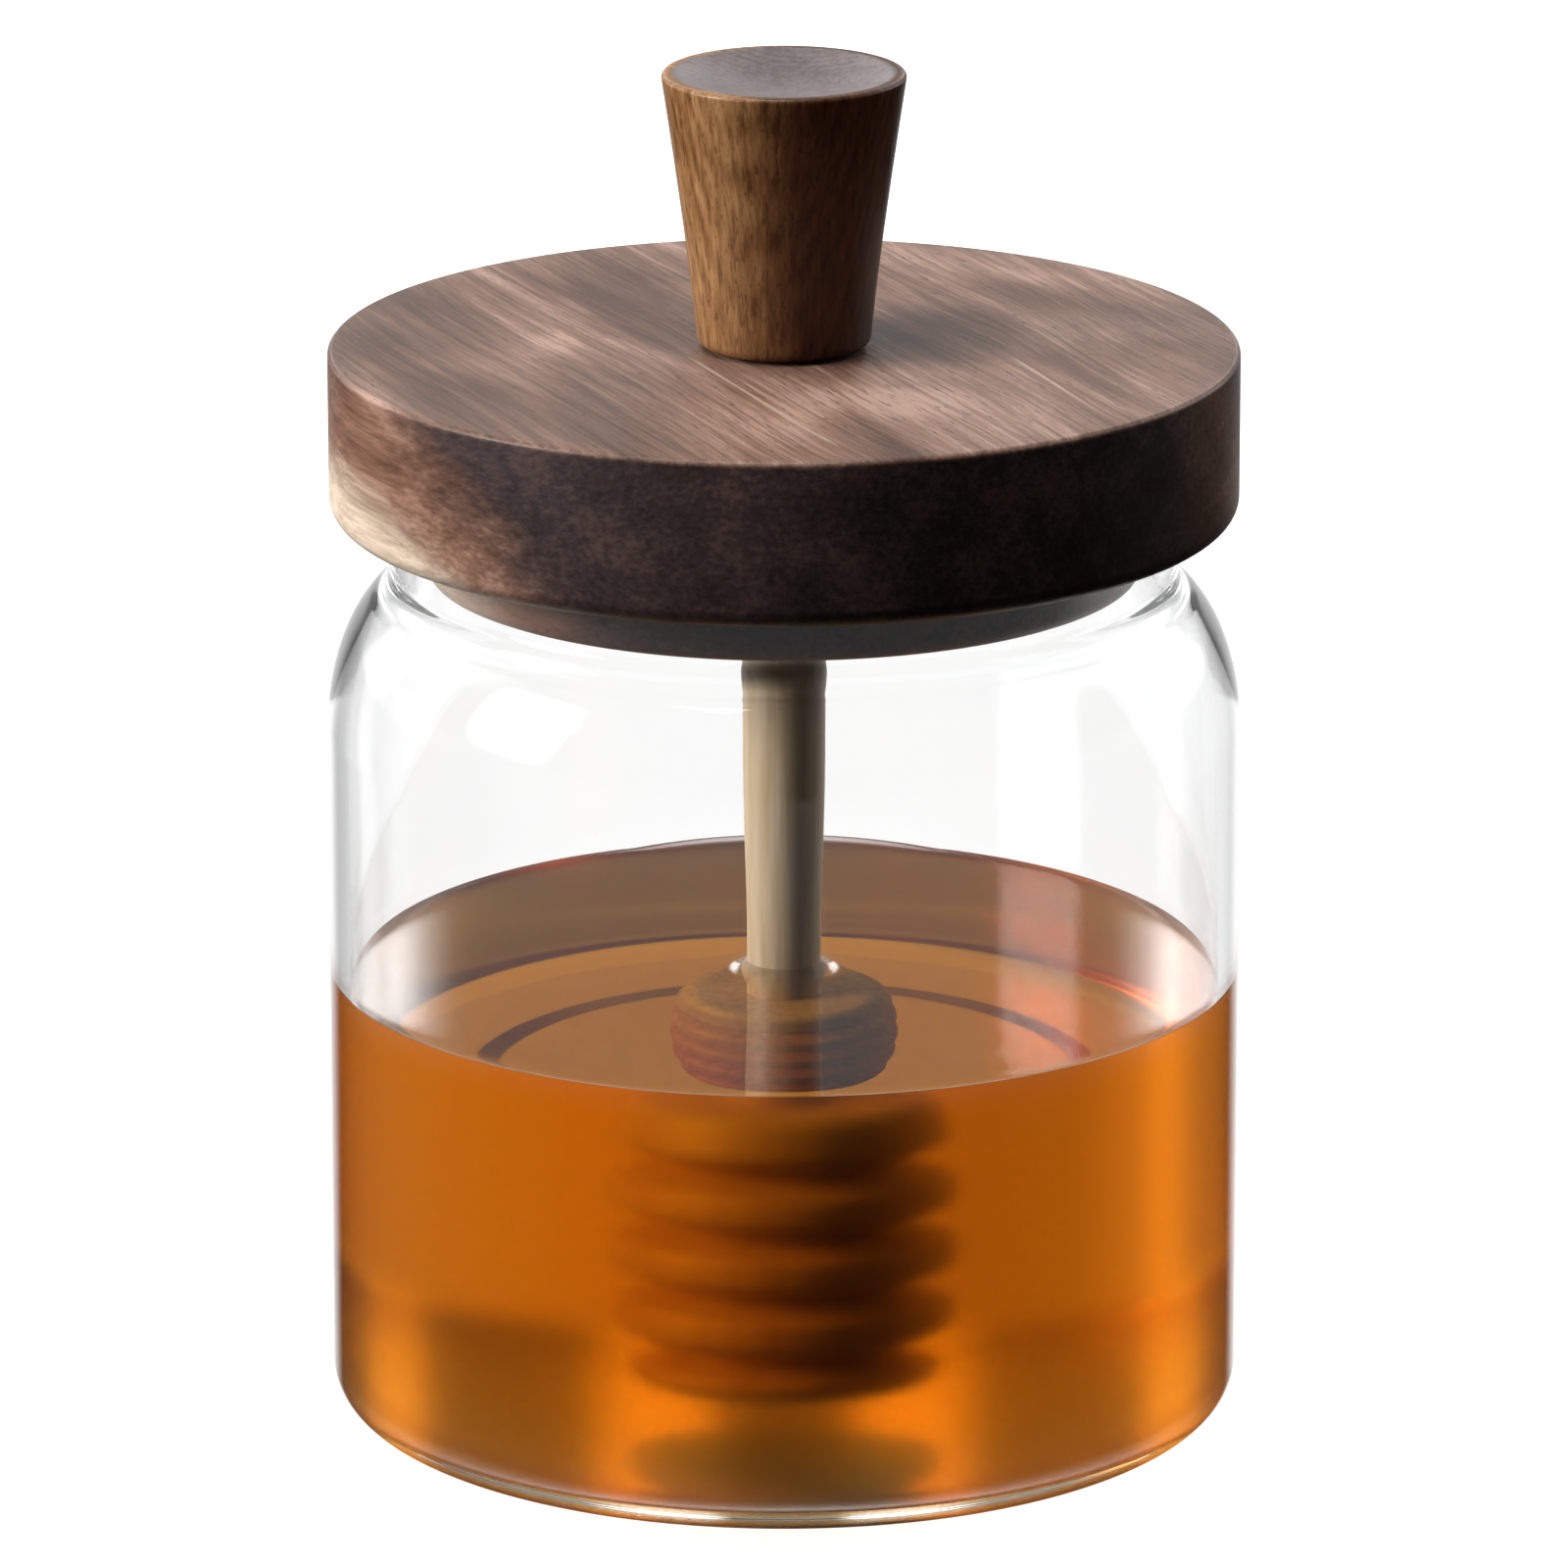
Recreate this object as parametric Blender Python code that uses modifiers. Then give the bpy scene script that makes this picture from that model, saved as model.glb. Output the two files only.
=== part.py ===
"""Honey dispenser: a round glass jar half full of honey, with a turned wooden lid.

The lid's plug sits in the neck, a flared knob stands on the lid, and a beech dipper hangs from the
plug down into the honey. Every piece is turned round one upright axis.

Metres, +Z up. The origin is the centre of the jar's foot, on the surface that it stands on.
"""

import math

import bpy

# Clearance between pieces that touch
GAP = 0.0003

# Glass jar
JAR_RADIUS = 0.0504
JAR_WALL = 0.0022
JAR_FLOOR = 0.0028
JAR_CORNER_RADIUS = 0.0045
FOOT_INNER_RADIUS = 0.0360
PUNT_RADIUS = 0.0330
PUNT_HEIGHT = 0.0010
SHOULDER_BOTTOM = 0.0773
SHOULDER_HEIGHT = 0.0172
SHOULDER_INNER_HEIGHT = 0.0158
SHOULDER_DEPTH = 0.0092
NECK_RADIUS = 0.0435
RIM_HEIGHT = 0.1018
RIM_ROUNDING = 0.0009

# Honey, up to its level in the jar
HONEY_LEVEL = 0.0496

# Lid: a thick disc with a plug under it
LID_RADIUS = 0.0500
LID_BOTTOM = RIM_HEIGHT + GAP
LID_THICKNESS = 0.0185
LID_TOP_ROUNDING = 0.0006
LID_BOTTOM_ROUNDING = 0.0022
PLUG_RADIUS = 0.0392
PLUG_HEIGHT = 0.0065
PLUG_ROUNDING = 0.0018
SOCKET_DEPTH = 0.0060

# Knob: a flared stem with a dished top
KNOB_HEIGHT = 0.0304
KNOB_FOOT_RADIUS = 0.0096
KNOB_TOP_RADIUS = 0.0134
KNOB_FOOT_ROUNDING = 0.0012
KNOB_RIM_ROUNDING = 0.0005
KNOB_FLARE_POWER = 1.15
DISH_RADIUS = 0.0122
DISH_DEPTH = 0.0013

# Dipper: a rod that widens to the lid, and a ridged head
ROD_TOP_RADIUS = 0.0046
ROD_RADIUS = 0.0041
ROD_TAPER_TOP = 0.0740
ROD_TAPER_BOTTOM = 0.0530
HEAD_TOP = 0.0396
HEAD_BOTTOM = 0.0064
RIDGE_COUNT = 5
RIDGE_PITCH = 0.0072
RIDGE_RADIUS = 0.0127
BARREL_DROP = 0.0012
GROOVE_DEPTH = 0.0042
GROOVE_SHARPNESS = 3.0
GROOVE_SHARES = (-0.5, -0.26, -0.13, 0.0, 0.13, 0.26)
HEAD_END_ROUNDING = 0.0022

# Facets round each turned piece
JAR_FACETS = 52
LID_FACETS = 52
KNOB_FACETS = 36
DIPPER_FACETS = 36


def arc(centre_r, centre_z, radius_r, radius_z, start_deg, end_deg, steps):
    """Points along an elliptical arc in the (r, z) plane, both ends included."""
    points = []
    for i in range(steps + 1):
        angle = math.radians(start_deg + (end_deg - start_deg) * i / steps)
        points.append((centre_r + radius_r * math.cos(angle), centre_z + radius_z * math.sin(angle)))
    return points


def offset_outwards(profile, distance):
    """A profile that runs downwards, moved square to its own line, away from the axis."""
    moved = []
    for i, (r, z) in enumerate(profile):
        before = profile[max(i - 1, 0)]
        after = profile[min(i + 1, len(profile) - 1)]
        normal_in = edge_normal(before, (r, z)) if i > 0 else edge_normal((r, z), after)
        normal_out = edge_normal((r, z), after) if i < len(profile) - 1 else normal_in
        sum_r = normal_in[0] + normal_out[0]
        sum_z = normal_in[1] + normal_out[1]
        stretch = 2.0 * distance / (sum_r ** 2 + sum_z ** 2)
        moved.append((max(r + sum_r * stretch, 0.0), z + sum_z * stretch))
    return moved


def edge_normal(start, end):
    """The outward unit normal of an edge of a downward profile."""
    along_r = end[0] - start[0]
    along_z = end[1] - start[1]
    length = math.hypot(along_r, along_z)
    return (-along_z / length, along_r / length)


def jar_outer_profile():
    """The outside of the glass from the rim's crown down to the middle of the punt."""
    crown = RIM_HEIGHT - RIM_ROUNDING
    profile = arc(NECK_RADIUS - RIM_ROUNDING, crown, RIM_ROUNDING, RIM_ROUNDING, 90, 0, 3)
    centre_r = JAR_RADIUS - SHOULDER_DEPTH
    neck_deg = math.degrees(math.acos((NECK_RADIUS - centre_r) / SHOULDER_DEPTH))
    profile += arc(centre_r, SHOULDER_BOTTOM, SHOULDER_DEPTH, SHOULDER_HEIGHT, neck_deg, 0, 8)
    corner_r = JAR_RADIUS - JAR_CORNER_RADIUS
    profile += arc(corner_r, JAR_CORNER_RADIUS, JAR_CORNER_RADIUS, JAR_CORNER_RADIUS, 0, -90, 6)
    profile += [(FOOT_INNER_RADIUS, 0.0), (PUNT_RADIUS, PUNT_HEIGHT), (0.0, PUNT_HEIGHT)]
    return profile


def jar_inner_profile():
    """The inside of the glass from the rim's crown down to the middle of the floor."""
    neck_inside = NECK_RADIUS - JAR_WALL
    body_inside = JAR_RADIUS - JAR_WALL
    crown = RIM_HEIGHT - RIM_ROUNDING
    profile = arc(neck_inside + RIM_ROUNDING, crown, RIM_ROUNDING, RIM_ROUNDING, 90, 180, 3)
    centre_r = JAR_RADIUS - SHOULDER_DEPTH
    depth = SHOULDER_DEPTH - JAR_WALL
    neck_deg = math.degrees(math.acos((neck_inside - centre_r) / depth))
    profile += arc(centre_r, SHOULDER_BOTTOM, depth, SHOULDER_INNER_HEIGHT, neck_deg, 0, 8)
    corner = JAR_CORNER_RADIUS - JAR_WALL
    profile += arc(body_inside - corner, JAR_FLOOR + corner, corner, corner, 0, -90, 5)
    profile += [(0.0, JAR_FLOOR)]
    return profile


def groove_fraction(depth_below_top):
    """How far a point of the head lies in a groove, from 0 on a ridge to 1 at a groove's bottom."""
    turn = depth_below_top / RIDGE_PITCH
    return (0.5 + 0.5 * math.cos(2.0 * math.pi * turn)) ** GROOVE_SHARPNESS


def dipper_profile():
    """The dipper from the rod's top end down to the tip of the head."""
    plug_bottom = LID_BOTTOM - PLUG_HEIGHT
    rod_top = plug_bottom + SOCKET_DEPTH - GAP
    profile = [(0.0, rod_top), (ROD_TOP_RADIUS, rod_top), (ROD_TOP_RADIUS, ROD_TAPER_TOP)]
    profile += [(ROD_RADIUS, ROD_TAPER_BOTTOM), (ROD_RADIUS, HEAD_TOP)]
    end_r = RIDGE_RADIUS - BARREL_DROP - HEAD_END_ROUNDING
    rounding = HEAD_END_ROUNDING
    profile += arc(end_r, HEAD_TOP - rounding, rounding, rounding, 90, 0, 3)
    middle = 0.5 * (HEAD_TOP - HEAD_BOTTOM)
    for groove in range(1, RIDGE_COUNT):
        for share in GROOVE_SHARES:
            below = (groove + share) * RIDGE_PITCH
            barrel = BARREL_DROP * (below / middle - 1.0) ** 2
            radius = RIDGE_RADIUS - barrel - GROOVE_DEPTH * groove_fraction(below)
            profile.append((radius, HEAD_TOP - below))
    profile += arc(end_r, HEAD_BOTTOM + rounding, rounding, rounding, 0, -90, 3)
    profile += [(0.0, HEAD_BOTTOM)]
    return profile


def honey_profile():
    """The honey: up round the dipper, across the level, and down inside the glass."""
    round_dipper = [p for p in offset_outwards(dipper_profile()[3:], GAP) if p[1] < HONEY_LEVEL]
    round_dipper = [(round_dipper[0][0], HONEY_LEVEL)] + round_dipper
    side = JAR_RADIUS - JAR_WALL - GAP
    floor = JAR_FLOOR + GAP
    corner = JAR_CORNER_RADIUS - JAR_WALL
    profile = list(reversed(round_dipper))
    profile += [(side, HONEY_LEVEL)]
    profile += arc(side - corner, floor + corner, corner, corner, 0, -90, 5)
    profile += [(0.0, floor)]
    return profile


def lid_profile():
    """The lid from the middle of its top, round the disc and the plug, and up into the rod's socket."""
    top = LID_BOTTOM + LID_THICKNESS
    plug_bottom = LID_BOTTOM - PLUG_HEIGHT
    socket = ROD_TOP_RADIUS + GAP
    profile = [(0.0, top)]
    profile += arc(LID_RADIUS - LID_TOP_ROUNDING, top - LID_TOP_ROUNDING, LID_TOP_ROUNDING,
                   LID_TOP_ROUNDING, 90, 0, 2)
    profile += arc(LID_RADIUS - LID_BOTTOM_ROUNDING, LID_BOTTOM + LID_BOTTOM_ROUNDING,
                   LID_BOTTOM_ROUNDING, LID_BOTTOM_ROUNDING, 0, -90, 4)
    profile += [(PLUG_RADIUS, LID_BOTTOM)]
    profile += arc(PLUG_RADIUS - PLUG_ROUNDING, plug_bottom + PLUG_ROUNDING, PLUG_ROUNDING,
                   PLUG_ROUNDING, 0, -90, 3)
    socket_top = plug_bottom + SOCKET_DEPTH
    profile += [(socket, plug_bottom), (socket, socket_top), (0.0, socket_top)]
    return profile


def knob_profile():
    """The knob from the middle of its dished top down its flared side to the foot."""
    foot = LID_BOTTOM + LID_THICKNESS + GAP
    top = foot + KNOB_HEIGHT
    dish_steps = 5
    profile = []
    for i in range(dish_steps + 1):
        share = i / dish_steps
        profile.append((DISH_RADIUS * share, top - DISH_DEPTH * (1.0 - share ** 2)))
    profile += arc(KNOB_TOP_RADIUS - KNOB_RIM_ROUNDING, top - KNOB_RIM_ROUNDING, KNOB_RIM_ROUNDING,
                   KNOB_RIM_ROUNDING, 60, 0, 2)
    side_top = top - KNOB_RIM_ROUNDING
    side_bottom = foot + KNOB_FOOT_ROUNDING
    side_steps = 6
    for i in range(1, side_steps):
        share = 1.0 - i / side_steps
        radius = KNOB_FOOT_RADIUS + (KNOB_TOP_RADIUS - KNOB_FOOT_RADIUS) * share ** KNOB_FLARE_POWER
        profile.append((radius, side_bottom + (side_top - side_bottom) * share))
    profile += arc(KNOB_FOOT_RADIUS - KNOB_FOOT_ROUNDING, side_bottom, KNOB_FOOT_ROUNDING,
                   KNOB_FOOT_ROUNDING, 0, -90, 3)
    profile += [(0.0, foot)]
    return profile


def plain_material(name, colour, roughness, transmission=0.0, index=1.45):
    """A plain finish of one colour."""
    material = bpy.data.materials.new(name)
    material.use_nodes = True
    shader = material.node_tree.nodes["Principled BSDF"]
    shader.inputs["Base Color"].default_value = (*colour, 1.0)
    shader.inputs["Roughness"].default_value = roughness
    shader.inputs["Metallic"].default_value = 0.0
    shader.inputs["Transmission Weight"].default_value = transmission
    shader.inputs["IOR"].default_value = index
    return material


def turned(name, profile, facets, material, collection):
    """A piece turned round the Z axis from its profile of (r, z) points."""
    mesh = bpy.data.meshes.new(name)
    vertices = [(r, 0.0, z) for r, z in profile]
    edges = [(i, i + 1) for i in range(len(vertices) - 1)]
    mesh.from_pydata(vertices, edges, [])
    piece = bpy.data.objects.new(name, mesh)
    collection.objects.link(piece)
    screw = piece.modifiers.new("turn", "SCREW")
    screw.axis = "Z"
    screw.angle = 2.0 * math.pi
    screw.steps = facets
    screw.render_steps = facets
    screw.use_merge_vertices = True
    screw.merge_threshold = 0.00001
    screw.use_smooth_shade = True
    mesh.materials.append(material)
    return piece


def clear_scene():
    """Remove whatever the scene holds."""
    for item in list(bpy.data.objects):
        bpy.data.objects.remove(item, do_unlink=True)


def build():
    """Make the five pieces in a collection of their own."""
    clear_scene()
    collection = bpy.data.collections.new("honey_dispenser")
    bpy.context.scene.collection.children.link(collection)
    glass = plain_material("clear_glass", (0.98, 0.99, 0.98), 0.02, transmission=1.0, index=1.47)
    honey = plain_material("honey", (0.80, 0.36, 0.03), 0.03, transmission=1.0, index=1.49)
    dark_wood = plain_material("dark_wood", (0.20, 0.12, 0.08), 0.45)
    knob_wood = plain_material("brown_wood", (0.30, 0.16, 0.07), 0.40)
    pale_wood = plain_material("beech", (0.66, 0.52, 0.37), 0.50)
    jar_profile = list(reversed(jar_inner_profile())) + jar_outer_profile()
    turned("glass_jar", jar_profile, JAR_FACETS, glass, collection)
    turned("honey", honey_profile(), DIPPER_FACETS, honey, collection)
    turned("lid", lid_profile(), LID_FACETS, dark_wood, collection)
    turned("knob", knob_profile(), KNOB_FACETS, knob_wood, collection)
    turned("dipper", dipper_profile(), DIPPER_FACETS, pale_wood, collection)


build()
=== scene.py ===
import math

import bpy
import numpy as np
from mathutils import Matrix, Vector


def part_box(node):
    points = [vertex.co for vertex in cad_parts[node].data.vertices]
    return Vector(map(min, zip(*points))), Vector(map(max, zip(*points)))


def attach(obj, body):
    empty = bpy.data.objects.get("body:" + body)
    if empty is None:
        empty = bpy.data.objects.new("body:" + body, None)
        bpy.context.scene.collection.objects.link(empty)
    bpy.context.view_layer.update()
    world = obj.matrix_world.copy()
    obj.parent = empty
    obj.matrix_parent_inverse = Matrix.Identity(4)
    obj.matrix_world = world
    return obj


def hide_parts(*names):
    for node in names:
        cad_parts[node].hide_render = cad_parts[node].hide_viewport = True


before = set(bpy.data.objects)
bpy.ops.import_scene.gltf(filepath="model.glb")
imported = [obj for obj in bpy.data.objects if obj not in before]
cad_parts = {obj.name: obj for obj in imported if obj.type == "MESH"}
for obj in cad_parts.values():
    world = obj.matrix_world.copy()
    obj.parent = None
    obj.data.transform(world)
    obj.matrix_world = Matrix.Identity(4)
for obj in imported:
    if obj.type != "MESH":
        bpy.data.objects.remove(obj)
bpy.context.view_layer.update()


# The view: the jar stands on the floor and the camera looks down on it from the front, from about
# thirteen jar widths away, with a long lens and no shift.
CAMERA_DISTANCE = 1.300
CAMERA_HEIGHT = 0.45125
CAMERA_PITCH_DEG = 16.32
SENSOR_WIDTH_MM = 36.0
PICTURE_SIDE_PX = 1600
FOCAL_PX = 12496.0

scene = bpy.context.scene
camera_data = bpy.data.cameras.new("view")
camera_data.sensor_width = SENSOR_WIDTH_MM
camera_data.lens = SENSOR_WIDTH_MM * FOCAL_PX / PICTURE_SIDE_PX
camera = bpy.data.objects.new("view", camera_data)
scene.collection.objects.link(camera)
camera.location = (0.0, -CAMERA_DISTANCE, CAMERA_HEIGHT)
camera.rotation_euler = (math.radians(90.0 - CAMERA_PITCH_DEG), 0.0, 0.0)
scene.camera = camera

scene.view_settings.view_transform = "Standard"
scene.view_settings.look = "None"
scene.cycles.max_bounces = 24
scene.cycles.transmission_bounces = 20
scene.cycles.glossy_bounces = 10
scene.cycles.diffuse_bounces = 4
scene.cycles.transparent_max_bounces = 24
scene.cycles.caustics_refractive = False
scene.cycles.caustics_reflective = False
scene.cycles.sample_clamp_indirect = 8.0
scene.cycles.use_denoising = True


# The studio: a plain pale floor with its own lamp, a big soft lamp on the left that gives the wood its light
# side, and a weaker one overhead. Glass and honey look through to the pale table of the room behind.
FLOOR_RADIUS = 5.0
FLOOR_DROP = 0.0002
FLOOR_RINGS = 24
FLOOR_STEPS_AROUND = 96
FLOOR_COLOUR = (0.90, 0.90, 0.90)
FLOOR_ROUGHNESS = 0.9
FLOOR_GLOSS = 0.1
LAMP_FADE = 0.34
LEFT_LAMP = {"place": (-1.98, -0.53, 0.95), "aim": (0.0, 0.0, 0.09), "size": (1.2, 1.3), "watts": 133.2}
TOP_LAMP = {"place": (-0.35, -0.25, 2.10), "aim": (0.0, 0.0, 0.12), "size": (1.0, 1.0), "watts": 30.0}
FLOOR_LAMP = {"place": (0.0, 1.90, 1.70), "aim": (0.0, 0.25, 0.0), "size": (1.8, 1.2), "watts": 112.0}

# The room's light by direction: X to the right, Y away from the camera and Z up, each from -1 to 1.
HORIZON = (-0.02, 0.06)
BEHIND = (-0.05, 0.30)
ROOM_IN_FRONT = 0.05
ROOM_BEHIND = 0.22
ROOM_ASIDE = 0.30
ASIDE_X = (0.07, 0.13)
WINDOW_GLOW = 2.8
WINDOW_X = (0.58, 0.70, 0.76, 0.86)
WINDOW_Z = (-0.02, 0.06, 0.45, 0.75)
NARROW_GLOW = 4.2
NARROW_X = (0.07, 0.13, 0.20, 0.32)
NARROW_Z = (0.10, 0.20, 0.35, 0.45)
TABLE_IN_FRONT = 0.50
TABLE_BEHIND = 1.10
TABLE_DIP = -0.32
TABLE_DIP_X = (-0.60, -0.45, -0.30, -0.10)
TABLE_STREAK = 0.80
TABLE_STREAK_X = (-0.78, -0.71, -0.67, -0.60)
TABLE_SHADE = 0.012
EDGE_ON_GLOW = 1.0
EDGE_ON_Y = (0.85, 0.94)


def ring_disc(name, radius, rings, around):
    """A flat disc just under the foot, whose rings' radius grows with the square of the ring's number."""
    share = (np.arange(1, rings + 1) / rings) ** 2
    angle = np.arange(around) * 2.0 * np.pi / around
    x = np.outer(share * radius, np.cos(angle)).ravel()
    y = np.outer(share * radius, np.sin(angle)).ravel()
    points = np.column_stack([x, y, np.full(x.size, -FLOOR_DROP)])
    points = np.vstack([points, [[0.0, 0.0, -FLOOR_DROP]]])
    ring, step = np.meshgrid(np.arange(rings - 1), np.arange(around), indexing="ij")
    after = (step + 1) % around
    quads = np.stack([ring * around + step, (ring + 1) * around + step,
                      (ring + 1) * around + after, ring * around + after], axis=-1).reshape(-1, 4)
    fan = np.column_stack([np.full(around, rings * around), np.arange(around),
                           (np.arange(around) + 1) % around])
    mesh = bpy.data.meshes.new(name)
    mesh.from_pydata(points.tolist(), [], quads.tolist() + fan.tolist())
    disc = bpy.data.objects.new(name, mesh)
    scene.collection.objects.link(disc)
    return disc


def new_material(name):
    """A new node material, its node tree and its Principled shader."""
    material = bpy.data.materials.new(name)
    material.use_nodes = True
    return material, material.node_tree, material.node_tree.nodes["Principled BSDF"]


def feed(tree, node, entries):
    """Gives a node's inputs, by name or number, a number, a colour or another node's output."""
    for key, value in entries.items():
        entry = node.inputs[key]
        if isinstance(value, bpy.types.NodeSocket):
            tree.links.new(value, entry)
        elif entry.type == "RGBA":
            entry.default_value = (*value, 1.0)
        else:
            entry.default_value = value


def calc(tree, operation, *values):
    """One arithmetic step on values or numbers."""
    node = tree.nodes.new("ShaderNodeMath")
    node.operation = operation
    feed(tree, node, dict(enumerate(values)))
    return node.outputs["Value"]


def product(tree, first, *others):
    """All the values and numbers multiplied."""
    for value in others:
        first = calc(tree, "MULTIPLY", first, value)
    return first


def weighted(tree, base, *pairs):
    """The base plus each value times its weight."""
    for value, weight in pairs:
        base = calc(tree, "MULTIPLY_ADD", value, weight, base)
    return base


def soft_step(tree, value, low, high):
    """A value that rises smoothly from 0 at low to 1 at high."""
    node = tree.nodes.new("ShaderNodeMapRange")
    node.interpolation_type = "SMOOTHSTEP"
    feed(tree, node, {"Value": value, "From Min": low, "From Max": high})
    return node.outputs["Result"]


def band(tree, value, low, rise, fall, high):
    """A value that rises from 0 to 1 between low and rise, and falls back between fall and high."""
    return calc(tree, "SUBTRACT", soft_step(tree, value, low, rise), soft_step(tree, value, fall, high))


def split(tree, vector):
    """The three numbers of a vector."""
    node = tree.nodes.new("ShaderNodeSeparateXYZ")
    feed(tree, node, {"Vector": vector})
    return node.outputs["X"], node.outputs["Y"], node.outputs["Z"]


def soft_lamp(name, place, aim, size, watts):
    """A rectangular lamp at place that faces aim."""
    data = bpy.data.lights.new(name, "AREA")
    data.shape = "RECTANGLE"
    data.size, data.size_y = size
    data.energy = watts
    lamp = bpy.data.objects.new(name, data)
    scene.collection.objects.link(lamp)
    lamp.location = place
    direction = np.array(aim) - np.array(place)
    yaw = math.atan2(-direction[0], direction[1])
    tilt = math.atan2(math.hypot(direction[0], direction[1]), -direction[2])
    lamp.rotation_euler = (tilt, 0.0, yaw)
    lamp.visible_camera = False
    return lamp


def fade_lamp(lamp):
    """Lets the lamp's light fall off softly towards its four edges, as through a diffuser."""
    lamp.data.use_nodes = True
    tree = lamp.data.node_tree
    across, along, _ = split(tree, tree.nodes.new("ShaderNodeNewGeometry").outputs["Parametric"])
    edges = (0.0, LAMP_FADE, 1.0 - LAMP_FADE, 1.0)
    light = product(tree, band(tree, across, *edges), band(tree, along, *edges))
    feed(tree, tree.nodes["Emission"], {"Strength": light})


floor = ring_disc("floor", FLOOR_RADIUS, FLOOR_RINGS, FLOOR_STEPS_AROUND)
floor_material, tree, shader = new_material("floor_paper")
feed(tree, shader, {"Base Color": FLOOR_COLOUR, "Roughness": FLOOR_ROUGHNESS,
                    "Specular IOR Level": FLOOR_GLOSS})
floor.data.materials.append(floor_material)
floor.visible_glossy = False
floor.visible_diffuse = False
floor.visible_transmission = False

world = bpy.data.worlds.new("room")
scene.world = world
world.use_nodes = True
tree = world.node_tree
x, y, z = split(tree, tree.nodes.new("ShaderNodeTexCoord").outputs["Generated"])
sideways = calc(tree, "ABSOLUTE", x)
above = soft_step(tree, z, *HORIZON)
below = calc(tree, "SUBTRACT", 1.0, above)
behind = soft_step(tree, y, *BEHIND)
window = product(tree, band(tree, z, *WINDOW_Z), band(tree, sideways, *WINDOW_X), behind)
narrow = product(tree, band(tree, sideways, *NARROW_X), behind, band(tree, z, *NARROW_Z))
aside = product(tree, soft_step(tree, sideways, *ASIDE_X), behind)
room = weighted(tree, ROOM_IN_FRONT, (behind, ROOM_BEHIND - ROOM_IN_FRONT), (window, WINDOW_GLOW),
                (narrow, NARROW_GLOW), (aside, ROOM_ASIDE))
table = weighted(tree, TABLE_BEHIND, (band(tree, x, *TABLE_DIP_X), TABLE_DIP),
                 (band(tree, x, *TABLE_STREAK_X), TABLE_STREAK))
table = weighted(tree, TABLE_IN_FRONT, (calc(tree, "SUBTRACT", table, TABLE_IN_FRONT), behind))
through_glass = tree.nodes.new("ShaderNodeLightPath").outputs["Is Transmission Ray"]
edge_on = product(tree, soft_step(tree, y, *EDGE_ON_Y), calc(tree, "SUBTRACT", 1.0, through_glass))
table = weighted(tree, TABLE_SHADE, (table, through_glass), (edge_on, EDGE_ON_GLOW))
light = calc(tree, "ADD", product(tree, room, above), product(tree, table, below))
feed(tree, tree.nodes["Background"], {"Color": (1.0, 1.0, 1.0), "Strength": light})

left_lamp = soft_lamp("left_lamp", **LEFT_LAMP)
fade_lamp(left_lamp)
top_lamp = soft_lamp("top_lamp", **TOP_LAMP)
floor_lamp = soft_lamp("floor_lamp", **FLOOR_LAMP)
not_the_floor = bpy.data.collections.new("not_the_floor")
not_the_floor.objects.link(floor)
not_the_floor.collection_objects[0].light_linking.link_state = "EXCLUDE"
left_lamp.light_linking.receiver_collection = not_the_floor
top_lamp.light_linking.receiver_collection = not_the_floor
only_the_floor = bpy.data.collections.new("only_the_floor")
only_the_floor.objects.link(floor)
floor_lamp.light_linking.receiver_collection = only_the_floor
floor_lamp.light_linking.blocker_collection = only_the_floor


# The jar: clear glass blown into a mould, with a thin floor, an even wall, a rounded shoulder and a short
# upright neck with a fire-polished rim. It is one closed wall of glass, outside and inside.
jar_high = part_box("glass_jar")[1]
HONEY_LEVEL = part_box("honey")[1][2]
JAR_RADIUS = jar_high[0]
RIM_HEIGHT = jar_high[2]
RIM_ROUNDING = 0.0009
JAR_WALL = 0.0022
JAR_FLOOR = 0.0028
JAR_CORNER_RADIUS = 0.0045
FOOT_INNER_RADIUS = 0.0360
PUNT_RADIUS = 0.0330
PUNT_HEIGHT = 0.0010
EDGE_LOOP = 0.0004
SHOULDER_BOTTOM = 0.0773
SHOULDER_HEIGHT = 0.0172
SHOULDER_INNER_BOTTOM = 0.0768
SHOULDER_INNER_HEIGHT = 0.0163
SHOULDER_DEPTH = 0.0092
NECK_RADIUS = 0.0435
NECK_KNEE = 0.0
NECK_BEND_UP = 0.0020
NECK_BEND_DEG = 13.0
NECK_INNER_KNEE = 0.0021
NECK_INNER_BEND_UP = 0.0033
NECK_INNER_BEND_DEG = 16.0
JAR_STEPS_AROUND = 288
SHARP_FROM_DEG = 50.0
ON_AXIS = 1e-9
GLASS_COLOUR = (0.985, 0.990, 0.988)
GLASS_IOR = 1.47


def arc(centre_r, centre_z, radius_r, radius_z, start_deg, end_deg, steps):
    """Points (r, z) of an elliptical arc: centre plus radius times cosine and sine of even angles."""
    angle = np.radians(np.linspace(start_deg, end_deg, steps + 1))
    return np.column_stack([centre_r + radius_r * np.cos(angle), centre_z + radius_z * np.sin(angle)])


def rounding(centre_r, centre_z, radius, start_deg, end_deg, steps):
    """Points (r, z) of a circular arc."""
    return arc(centre_r, centre_z, radius, radius, start_deg, end_deg, steps)


def line(start, end, steps):
    """Points (r, z) spread evenly on a straight line, without its last point."""
    share = np.linspace(0.0, 1.0, steps, endpoint=False)[:, None]
    return np.array(start) + share * (np.array(end) - np.array(start))


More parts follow.
